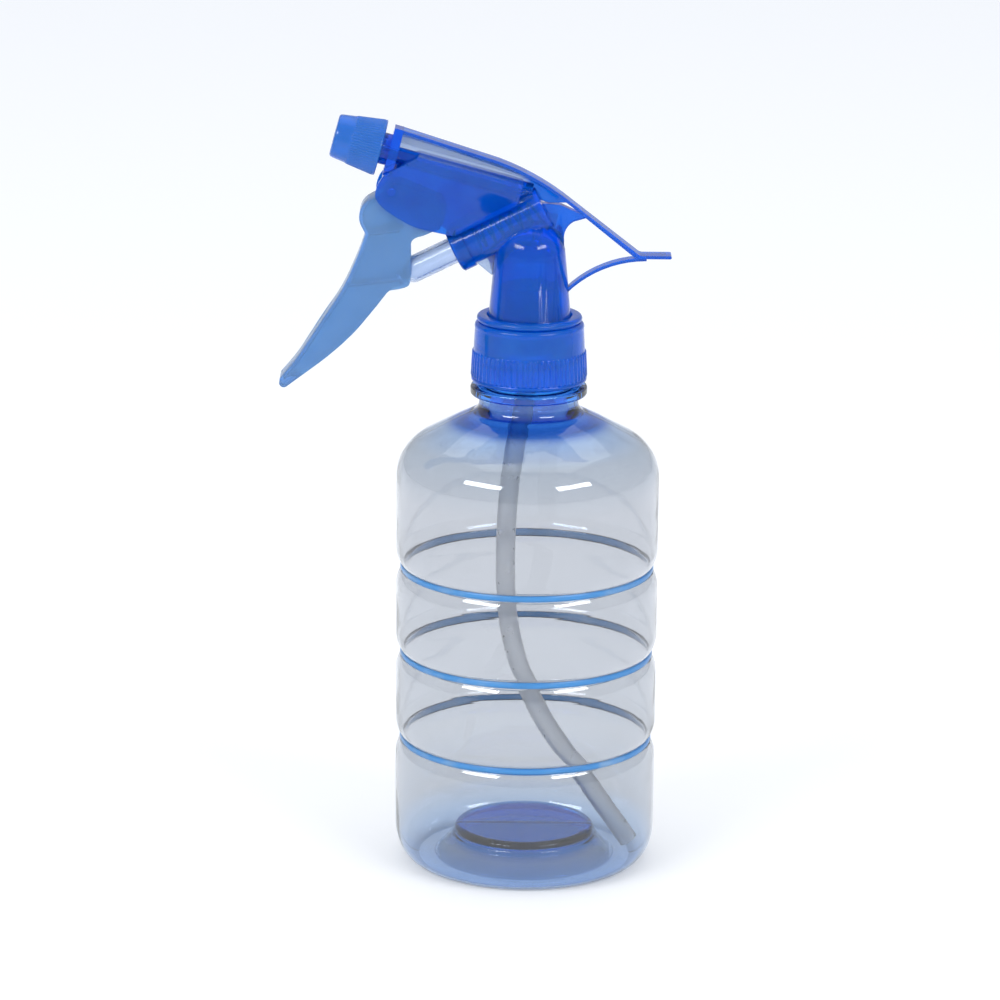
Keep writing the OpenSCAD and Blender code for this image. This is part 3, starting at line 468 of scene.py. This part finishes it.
def drawn_steel(name, shade, rough):
    """Stainless steel, drawn or ground: fine lines, soft sheen."""
    material, tree = blank(name)
    place = add(tree, "ShaderNodeTexCoord")["Object"]
    lines = add(tree, "ShaderNodeTexNoise", {"Vector": place, "Scale": per(0.3), "Detail": 4.0})[0]
    mixed = add(tree, "ShaderNodeMix", {0: lines, 6: colour(shade), 7: colour("8A8C90")},
                data_type="RGBA")[2]
    skin = add(tree, "ShaderNodeBump", {"Height": lines, "Strength": 0.1, "Distance": 0.02 * MM})[0]
    shader = add(tree, "ShaderNodeBsdfPrincipled",
                 {"Base Color": mixed, "Metallic": 1.0, "Roughness": rough, "Normal": skin})[0]
    surface(tree, shader)
    return material


clear_pet = blown_polyester()
blue_band = painted_band()
spring_wire = drawn_steel("spring_steel_drawn", "6A6C70", 0.3)
valve_ball = drawn_steel("ball_steel_ground", "9A9CA0", 0.15)
print("materials:", len(bpy.data.materials))

# %% [markdown]
# ## The bottle
# A blown bottle is a thin shell of one piece. It could be a CAD solid with flat facets, but light bends
# at every facet, so it is turned afresh from its drawn profile with close rings. The inner line follows
# the outer one at the wall's thickness, and gets thicker at the neck and under the base.

# %% Bottle profile
BODY_R = bottle_high.x / MM
BODY_TOP, SHOULDER_R, SHOULDER_SLOPE = 113, 13, 26
HEEL_RX, HEEL_RZ = 6.8, 11
GROOVE_R, GROOVE_HALF, GROOVE_CORNER = BODY_R - 1.8, 0.95, 0.12
BULGE_R, BULGE_REACH = 8, 4.6
WALL, NECK_BORE, NECK_ROOT, NECK_THREAD = 0.6, 10.8, 12.55, 13.7
NECK_OUT, NECK_FOOT_R, RING_R, RING_TOP = 14.0, 3.3, 16.5, 139.6
NECK_TOP = bottle_high.z / MM
THREAD_PITCH, THREAD_TURNS = 4.23, 1.6
THREAD_START = NECK_TOP - 2.4 - THREAD_TURNS * THREAD_PITCH
THREAD_ROW, PROFILE_STEP, BOTTLE_SIDES = 0.18, 1.2, 160
bands = [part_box(name) for name in ("band_lower", "band_middle", "band_upper")]
groove_heights = [(low.z + high.z) / 2 / MM for low, high in bands]


def body_line(inset):
    """The wall's line from the heel to the shoulder, at a depth inside the outer surface."""
    line = [(BODY_R - HEEL_RX + (HEEL_RX - inset) * math.sin(math.radians(a)),
             HEEL_RZ - (HEEL_RZ - inset) * math.cos(math.radians(a))) for a in range(0, 91, 6)]
    turn = math.degrees(math.asin(BULGE_REACH / BULGE_R))
    for z in groove_heights:
        low, high = z - GROOVE_HALF, z + GROOVE_HALF
        line += arc((BODY_R - BULGE_R, low - BULGE_REACH), BULGE_R - inset, 0, turn, 8)
        line += [(GROOVE_R - inset, low + GROOVE_CORNER), (GROOVE_R - inset, high - GROOVE_CORNER)]
        line += arc((BODY_R - BULGE_R, high + BULGE_REACH), BULGE_R - inset, -turn, 0, 8)
    line += arc((BODY_R - SHOULDER_R, BODY_TOP), SHOULDER_R - inset, 0, 90 - SHOULDER_SLOPE, 18)
    return line


def bottle_profile():
    """The whole closed profile: up the outside, over the neck, and down the inside."""
    foot = (NECK_OUT + NECK_FOOT_R, RING_TOP - 8.1)
    outer = [(0, 7.6), (18.9, 7.6), (19.25, 7.2), (19.5, 5.6), (24.9, 0.5), (25.5, 0.0)] + body_line(0)
    outer += [(20.9, 129.6)]
    outer += arc((foot[0], foot[1] + NECK_FOOT_R), NECK_FOOT_R, 262, 180, 8)
    ring = [(NECK_OUT, 136.6), (RING_R - 0.2, 137.2), (RING_R, 137.6), (RING_R, 139.2),
            (RING_R - 0.3, RING_TOP), (NECK_ROOT + 0.2, RING_TOP), (NECK_ROOT, RING_TOP + 0.3)]
    outer += softened(ring, 0.3)[1:-3]
    threaded = NECK_TOP - RING_TOP - 0.8
    rows = int(threaded / THREAD_ROW)
    outer += [(NECK_ROOT, RING_TOP + 0.35 + threaded * i / rows) for i in range(rows + 1)]
    outer += [(NECK_ROOT - 0.15, NECK_TOP - 0.12), (NECK_ROOT - 0.4, NECK_TOP), (NECK_BORE + 0.2, NECK_TOP)]
    base = [(0, 9.8), (18.2, 9.8), (19.0, 9.72), (19.6, 9.4), (20.0, 8.8), (20.15, 8.0), (20.3, 7.4),
            (20.7, 6.9), (24.6, 2.2), (25.5, 1.5)]
    neck = [(20.7, 128.6), (17.3, 129.9), (13.2, 131.7), (11.6, 133.1), (10.95, 134.6),
            (NECK_BORE, 136.2), (NECK_BORE, NECK_TOP - 0.2)]
    inner = base + body_line(WALL) + neck
    return outer + inner[::-1]


bottle = turned("bottle_shell", divided(bottle_profile(), PROFILE_STEP), BOTTLE_SIDES)
shaped(bottle, thread, clear_pet, Start=THREAD_START * MM, Pitch=THREAD_PITCH * MM, Turns=THREAD_TURNS,
       Depth=(NECK_THREAD - NECK_ROOT) * MM, Foot=1.15 * MM, Crest=0.55 * MM, From=(NECK_ROOT - 0.1) * MM,
       To=(NECK_ROOT + 0.1) * MM)
finished(bottle, "bottle", clear_pet, ["bottle"], edge=50)

# %% [markdown]
# ## Carried-over parts
# Parts with the right shape in the measured model stay as they are, and only get their finish.

# %% Finish the carried-over parts
finishes = {"band_lower": blue_band, "band_middle": blue_band, "band_upper": blue_band,
            "neck_gasket": soft_seal, "piston_cup": soft_seal, "nozzle_seal": soft_seal,
            "trigger_pin": body_pp, "cylinder_collar": body_pp, "tube_holder": closure_pp,
            "inlet_ball": valve_ball, "outlet_ball": valve_ball,
            "swirl_core": natural_pp, "plunger": natural_pp}
for name, material in finishes.items():
    part = frame["nodes"][name]
    if not part.data.materials:
        part.data.materials.append(material)
    for index in range(len(part.data.materials)):
        part.data.materials[index] = material
print("carried over:", len(finishes))

# %% [markdown]
# ## Head and trigger
# These have many flat walls that meet at edges. A moulded edge is never sharp, and the small round on it
# is what catches the light, so a copy of each measured part is merged, its flat faces joined up, and its
# edges bevelled.

# %% Round the edges of a measured part
def rounded_copy(node, width_mm):
    """A copy of a measured part with its edges rounded."""
    mesh = frame["nodes"][node].data.copy()
    form = bmesh.new()
    form.from_mesh(mesh)
    bmesh.ops.remove_doubles(form, verts=form.verts, dist=2e-6)
    bmesh.ops.dissolve_limit(form, angle_limit=math.radians(1.5), verts=form.verts, edges=form.edges)
    form.to_mesh(mesh)
    form.free()
    mesh.name = node + "_moulded"
    piece = bpy.data.objects.new(node + "_moulded", mesh)
    bpy.context.scene.collection.objects.link(piece)
    edges = piece.modifiers.new("edges", "BEVEL")
    edges.width = width_mm * MM
    edges.segments = 2
    edges.limit_method = "ANGLE"
    edges.angle_limit = math.radians(38)
    edges.use_clamp_overlap = True
    edges.miter_outer = "MITER_ARC"
    depsgraph = bpy.context.evaluated_depsgraph_get()
    piece.data = bpy.data.meshes.new_from_object(piece.evaluated_get(depsgraph), depsgraph=depsgraph)
    piece.modifiers.clear()
    return piece


finished(rounded_copy("pump_body", 0.18), "head", body_pp, ["pump_body"])
finished(rounded_copy("trigger", 0.22), "trigger", trigger_pp, ["trigger"])

# %% [markdown]
# ## The closure
# The screw closure is turned from its profile. The two rules then press the grip ribs into its outside
# and cut the thread inside, so both are true shapes and not a picture of them.

# %% Closure with ribs and thread
closure_low, closure_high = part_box("closure")
LID_UNDER, CLOSURE_IN, CLOSURE_OUT = 158.3, 14.0, 15.55
HEM, TOP, HEM_R = closure_low.z / MM, closure_high.z / MM, 16.28
SIDE_RISE, SIDE_LEAN, SIDE_ROWS, BORE_ROWS = 14.0, 14.6, 60, 84
RIB_LOW, RIB_HIGH = HEM + 1.2, HEM + 8.8
HOLE = 11.98


def closure_profile():
    """Up the outside from the hem, over the bead and the hole, and down the inside."""
    flare = (HEM_R - CLOSURE_OUT) / (LID_UNDER - 1.6 - HEM - 1)
    outer = [(CLOSURE_IN + 0.6, HEM), (HEM_R - 0.35, HEM), (HEM_R, HEM + 0.35), (HEM_R, HEM + 1.0)]
    outer += [(HEM_R - 0.2 - flare * (SIDE_LEAN * i / SIDE_ROWS), HEM + 1.15 + SIDE_RISE * i / SIDE_ROWS)
              for i in range(SIDE_ROWS + 1)]
    outer += arc((CLOSURE_OUT - 1.5, LID_UNDER - 1.6), 1.4, 0, 70, 6)
    outer += [(13.95, 157.9)] + arc((13.9, 159.0), 0.95, -60, 90, 9)
    outer += [(HOLE + 0.5, TOP), (HOLE + 0.1, TOP - 0.1), (HOLE, TOP - 0.45), (HOLE, LID_UNDER + 0.1)]
    inner = [(CLOSURE_IN - 0.1, LID_UNDER)]
    inner += [(CLOSURE_IN, LID_UNDER - 0.1 - (LID_UNDER - HEM - 0.7) * i / BORE_ROWS)
              for i in range(BORE_ROWS + 1)]
    return outer + inner


closure = turned("closure_shell", divided(closure_profile(), 0.9), 480)
shaped(closure, ribs, closure_pp, Count=60, Depth=0.38 * MM, Low=RIB_LOW * MM, High=RIB_HIGH * MM,
       Fade=0.4 * MM, Outside=(CLOSURE_IN + 1.2) * MM, Sharpness=1.4)
shaped(closure, thread, closure_pp, Start=(THREAD_START - 1.75) * MM, Pitch=THREAD_PITCH * MM,
       Turns=THREAD_TURNS, Depth=-1.15 * MM, Foot=0.85 * MM, Crest=0.35 * MM,
       From=(CLOSURE_IN - 0.05) * MM, To=(CLOSURE_IN + 0.05) * MM)
finished(closure, "closure", closure_pp, ["closure"], edge=55)

# %% [markdown]
# ## The nozzle
# The nozzle is a cap with fine flutes along its back two thirds and a plain front, screwed on a threaded
# boss. The same two rules make it, in its own upright frame, before it is laid along the spray line.

# %% Nozzle with flutes and thread
NOZZLE_BACK, NOZZLE_LENGTH, NOZZLE_FRONT_R, NOZZLE_BACK_R = 2.2, 13.5, 6.15, 8.05
NOZZLE_SIDE, NOZZLE_IN, NOZZLE_FLOOR = 12, 5.3, 10.4


def nozzle_profile():
    """Up the outside from the open back, over the front's hollow and the spray hole, and down the inside."""
    front = NOZZLE_BACK + NOZZLE_LENGTH
    outer = [(5.75, NOZZLE_BACK), (NOZZLE_BACK_R - 0.3, NOZZLE_BACK),
             (NOZZLE_BACK_R - 0.05, NOZZLE_BACK + 0.25)]
    rows = 40
    lean = (NOZZLE_BACK_R - NOZZLE_FRONT_R) / NOZZLE_LENGTH
    outer += [(NOZZLE_BACK_R - 0.12 - lean * (0.4 + NOZZLE_SIDE * i / rows),
               NOZZLE_BACK + 0.4 + NOZZLE_SIDE * i / rows) for i in range(rows + 1)]
    outer += arc((NOZZLE_FRONT_R - 0.9, front - 0.85), 0.85, 10, 90, 7)
    outer += [(1.95, front), (1.7, front - 0.12), (1.2, front - 0.5), (0.45, front - 0.5),
              (0.4, front - 0.56), (0.4, front - 1.14), (0.46, front - 1.2), (2.6, front - 1.2),
              (2.72, front - 1.35)]
    outer += [(2.72, 10.7), (2.85, 10.53), (5.15, 10.53), (NOZZLE_IN, NOZZLE_FLOOR)]
    rows = 50
    inner = [(NOZZLE_IN, NOZZLE_FLOOR - 0.05 - 7.8 * i / rows) for i in range(rows + 1)]
    return outer + inner + [(5.45, NOZZLE_BACK + 0.1)]


nozzle = turned("nozzle_shell", divided(nozzle_profile(), 0.6), 360)
shaped(nozzle, ribs, nozzle_pp, Count=60, Depth=0.14 * MM, Low=2.6 * MM, High=11.0 * MM, Fade=0.5 * MM,
       Outside=6.2 * MM, Sharpness=1.2)
shaped(nozzle, thread, nozzle_pp, Start=4.0 * MM, Pitch=2.0 * MM, Turns=2.2, Depth=-0.5 * MM, Foot=0.5 * MM,
       Crest=0.2 * MM, From=(NOZZLE_IN - 0.02) * MM, To=(NOZZLE_IN + 0.02) * MM)
finished(nozzle, "nozzle", nozzle_pp, ["nozzle_cap"], place=laid(SPRAY_AXIS, NOSE), edge=55)

# %% [markdown]
# ## The return spring
# A spring is a round wire along a helix, which is a path that Geometry Nodes know as a primitive. The
# wire's section is swept along it and its two ends are closed. It lies in the pump, so it is built
# upright and laid down.

# %% Spring on a helix
coil = bpy.data.node_groups.new("wire_coil", "GeometryNodeTree")
for size in ("Turns", "Radius", "Length", "Wire"):
    coil.interface.new_socket(size, in_out="INPUT", socket_type="NodeSocketFloat")
coil.interface.new_socket("Finish", in_out="INPUT", socket_type="NodeSocketMaterial")
coil.interface.new_socket("Mesh", in_out="OUTPUT", socket_type="NodeSocketGeometry")
sized = add(coil, "NodeGroupInput")
helix = add(coil, "GeometryNodeCurveSpiral",
            {"Resolution": 40, "Rotations": sized["Turns"], "Start Radius": sized["Radius"],
             "End Radius": sized["Radius"], "Height": sized["Length"]})[0]
section = add(coil, "GeometryNodeCurvePrimitiveCircle", {"Resolution": 14, "Radius": sized["Wire"]})[0]
wire = add(coil, "GeometryNodeCurveToMesh", {"Curve": helix, "Profile Curve": section, "Fill Caps": True})[0]
ends(coil, wire, sized["Finish"])

SPRING_FOOT, SPRING_LENGTH, SPRING_R, WIRE_R, SPRING_TURNS, SPRING_GAP = 4.6, 19.9, 2.9, 0.4, 7, 0.1
seed = bpy.data.meshes.new("return_spring_coil")
seed.from_pydata([(0, 0, 0)], [], [])
spring = bpy.data.objects.new("return_spring_coil", seed)
bpy.context.scene.collection.objects.link(spring)
shaped(spring, coil, spring_wire, Turns=SPRING_TURNS, Radius=SPRING_R * MM, Length=SPRING_LENGTH * MM,
       Wire=WIRE_R * MM)
finished(spring, "head", spring_wire, ["return_spring"],
         place=laid(PUMP_AXIS, cylinder_mouth + PUMP_AXIS * SPRING_FOOT * MM))
# The plunger's full stroke takes about half of the spring's length.
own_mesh(spring)

# %% [markdown]
# ## The dip tube
# The tube hangs from the pump and sweeps to the heel of the bottle. It is a plain swept pipe with its own
# wall, so that its edges look milky and its middle clearer. The path is the measured one: a bend, a slow
# return and a foot.

# %% Dip tube along its path
TUBE_R, TUBE_WALL = 2.75, 0.75
TUBE_TOP, BEND_Z, BEND_R, RETURN_R, FOOT_R, LEAN, SWEEP = 158.9, 145.4, 45, 200, 85, 12.8, 35
TUBE_END = (BODY_R - 7, 4.6)


def tube_path():
    """Stations of (x, z, lean) from the pump down to the heel."""
    lean, sweep = math.radians(LEAN), math.radians(SWEEP)
    bend = (BEND_R * (math.cos(lean) - 1), BEND_Z - BEND_R * math.sin(lean))
    upright = (bend[0] + RETURN_R * (math.cos(lean) - 1), bend[1] - RETURN_R * math.sin(lean))
    last = (TUBE_END[0] - upright[0] - FOOT_R * (1 - math.cos(sweep))) / math.sin(sweep)
    foot_z = TUBE_END[1] + last * math.cos(sweep) + FOOT_R * math.sin(sweep)
    stations = [(0, TUBE_TOP - (TUBE_TOP - BEND_Z) * i / 6, 0) for i in range(6)]
    stations += [(BEND_R * (math.cos(a) - 1), BEND_Z - BEND_R * math.sin(a), -a)
                 for a in (lean * i / 10 for i in range(11))]
    stations += [(upright[0] + RETURN_R * (1 - math.cos(a)), upright[1] + RETURN_R * math.sin(a), -a)
                 for a in (lean * (1 - i / 14) for i in range(1, 15))]
    stations += [(upright[0] + FOOT_R * (1 - math.cos(a)), foot_z - FOOT_R * math.sin(a), a)
                 for a in (sweep * i / 16 for i in range(17))]
    low = stations[-1]
    stations += [(low[0] + (TUBE_END[0] - low[0]) * i / 8, low[1] + (TUBE_END[1] - low[1]) * i / 8, sweep)
                 for i in range(1, 9)]
    return stations


def swept_tube(name, stations, sides=40):
    """A pipe with a wall: its rings go down the outside and back up the inside, square at both ends."""
    rings = [(i, TUBE_R) for i in range(len(stations))]
    rings += [(i, TUBE_R - TUBE_WALL) for i in reversed(range(len(stations)))]
    verts, faces = [], []
    for i, r in rings:
        x, z, lean = stations[i]
        for k in range(sides):
            q = 2 * math.pi * k / sides
            verts.append(((x + r * math.cos(q) * math.cos(lean)) * MM, r * math.sin(q) * MM,
                          (z + r * math.cos(q) * math.sin(lean)) * MM))
    for i in range(len(rings)):
        j = (i + 1) % len(rings)
        faces += [(i * sides + k, i * sides + (k + 1) % sides, j * sides + (k + 1) % sides, j * sides + k)
                  for k in range(sides)]
    mesh = bpy.data.meshes.new(name)
    mesh.from_pydata(verts, [], faces)
    piece = bpy.data.objects.new(name, mesh)
    bpy.context.scene.collection.objects.link(piece)
    return piece


finished(swept_tube("dip_tube_drawn", tube_path()), "head", tube_pe, ["dip_tube"], edge=50)

# %% [markdown]
# ## Floor, light and camera
# A clear object shows its surroundings, so they are kept plain: a pale floor that fills the view, a pale
# sky, and two soft boxes in front, left and right, that each leave a short bright streak on every bulge.
# A wide third box hangs above and behind. The floor gives a little light of its own, so it stays white
# without stronger lamps.

# %% Floor
bpy.ops.mesh.primitive_grid_add(x_subdivisions=2, y_subdivisions=2, size=16)
floor = bpy.context.object
floor.name = "studio_floor"
pale, tree = blank("floor_paper_matt")
place = add(tree, "ShaderNodeTexCoord")["Object"]
fibres = add(tree, "ShaderNodeTexNoise", {"Vector": place, "Scale": per(2), "Detail": 4.0})[0]
tone = add(tree, "ShaderNodeMix", {0: fibres, 6: colour("E4E5E6"), 7: colour("E1E2E4")}, data_type="RGBA")[2]
paper = add(tree, "ShaderNodeBsdfPrincipled",
            {"Base Color": tone, "Roughness": 0.8, "Emission Color": colour("F4F8FF"),
             "Emission Strength": 0.3})[0]
surface(tree, paper)
floor.data.materials.append(pale)

# %% Light
world = bpy.data.worlds.new("pale_room")
bpy.context.scene.world = world
world.use_nodes = True
world.node_tree.nodes["Background"].inputs[0].default_value = colour("EEF1F6")
world.node_tree.nodes["Background"].inputs[1].default_value = 0.72


def facing(spot, target):
    """The place of a lamp or a camera that stands on a spot and looks at a target."""
    return Matrix.Translation(spot) @ (target - spot).to_track_quat("-Z", "Y").to_matrix().to_4x4()


def soft_box(name, azimuth, elevation, distance, width, height, watts):
    """An area light that faces the bottle. Azimuth 0 is in front of it and 90 is on its right."""
    target = Vector((0, 0, 0.11))
    a, e = math.radians(azimuth), math.radians(elevation)
    spot = target + distance * Vector((math.sin(a) * math.cos(e), -math.cos(a) * math.cos(e), math.sin(e)))
    data = bpy.data.lights.new(name, "AREA")
    data.shape, data.size, data.size_y, data.energy = "RECTANGLE", width, height, watts
    lamp = bpy.data.objects.new(name, data)
    lamp.matrix_world = facing(spot, target)
    bpy.context.scene.collection.objects.link(lamp)


soft_box("box_left", azimuth=-45, elevation=34, distance=1.5, width=0.85, height=0.25, watts=8.5)
soft_box("box_right", azimuth=45, elevation=34, distance=1.5, width=0.8, height=0.25, watts=7.5)
soft_box("box_top", azimuth=180, elevation=72, distance=3.0, width=3.0, height=3.0, watts=19)
print("lamps:", len(bpy.data.lights))

# %% Camera
camera_data = bpy.data.cameras.new("camera")
camera_data.sensor_width = 36
camera_data.lens = 175.9
camera_data.clip_end = 40
camera = bpy.data.objects.new("camera", camera_data)
camera_spot = Vector((-0.0078, -1.3389, 0.4651))
camera_target = Vector((-0.00783, 0, 0.10575))
camera_roll = Matrix.Rotation(math.radians(0.53), 4, "Z")
camera.matrix_world = facing(camera_spot, camera_target) @ camera_roll
bpy.context.scene.collection.objects.link(camera)
bpy.context.scene.camera = camera
bpy.context.scene.view_settings.view_transform = "Standard"
bpy.context.scene.cycles.transmission_bounces = 32
bpy.context.scene.cycles.max_bounces = 36
bpy.context.scene.cycles.transparent_max_bounces = 32
print("lens", camera_data.lens)
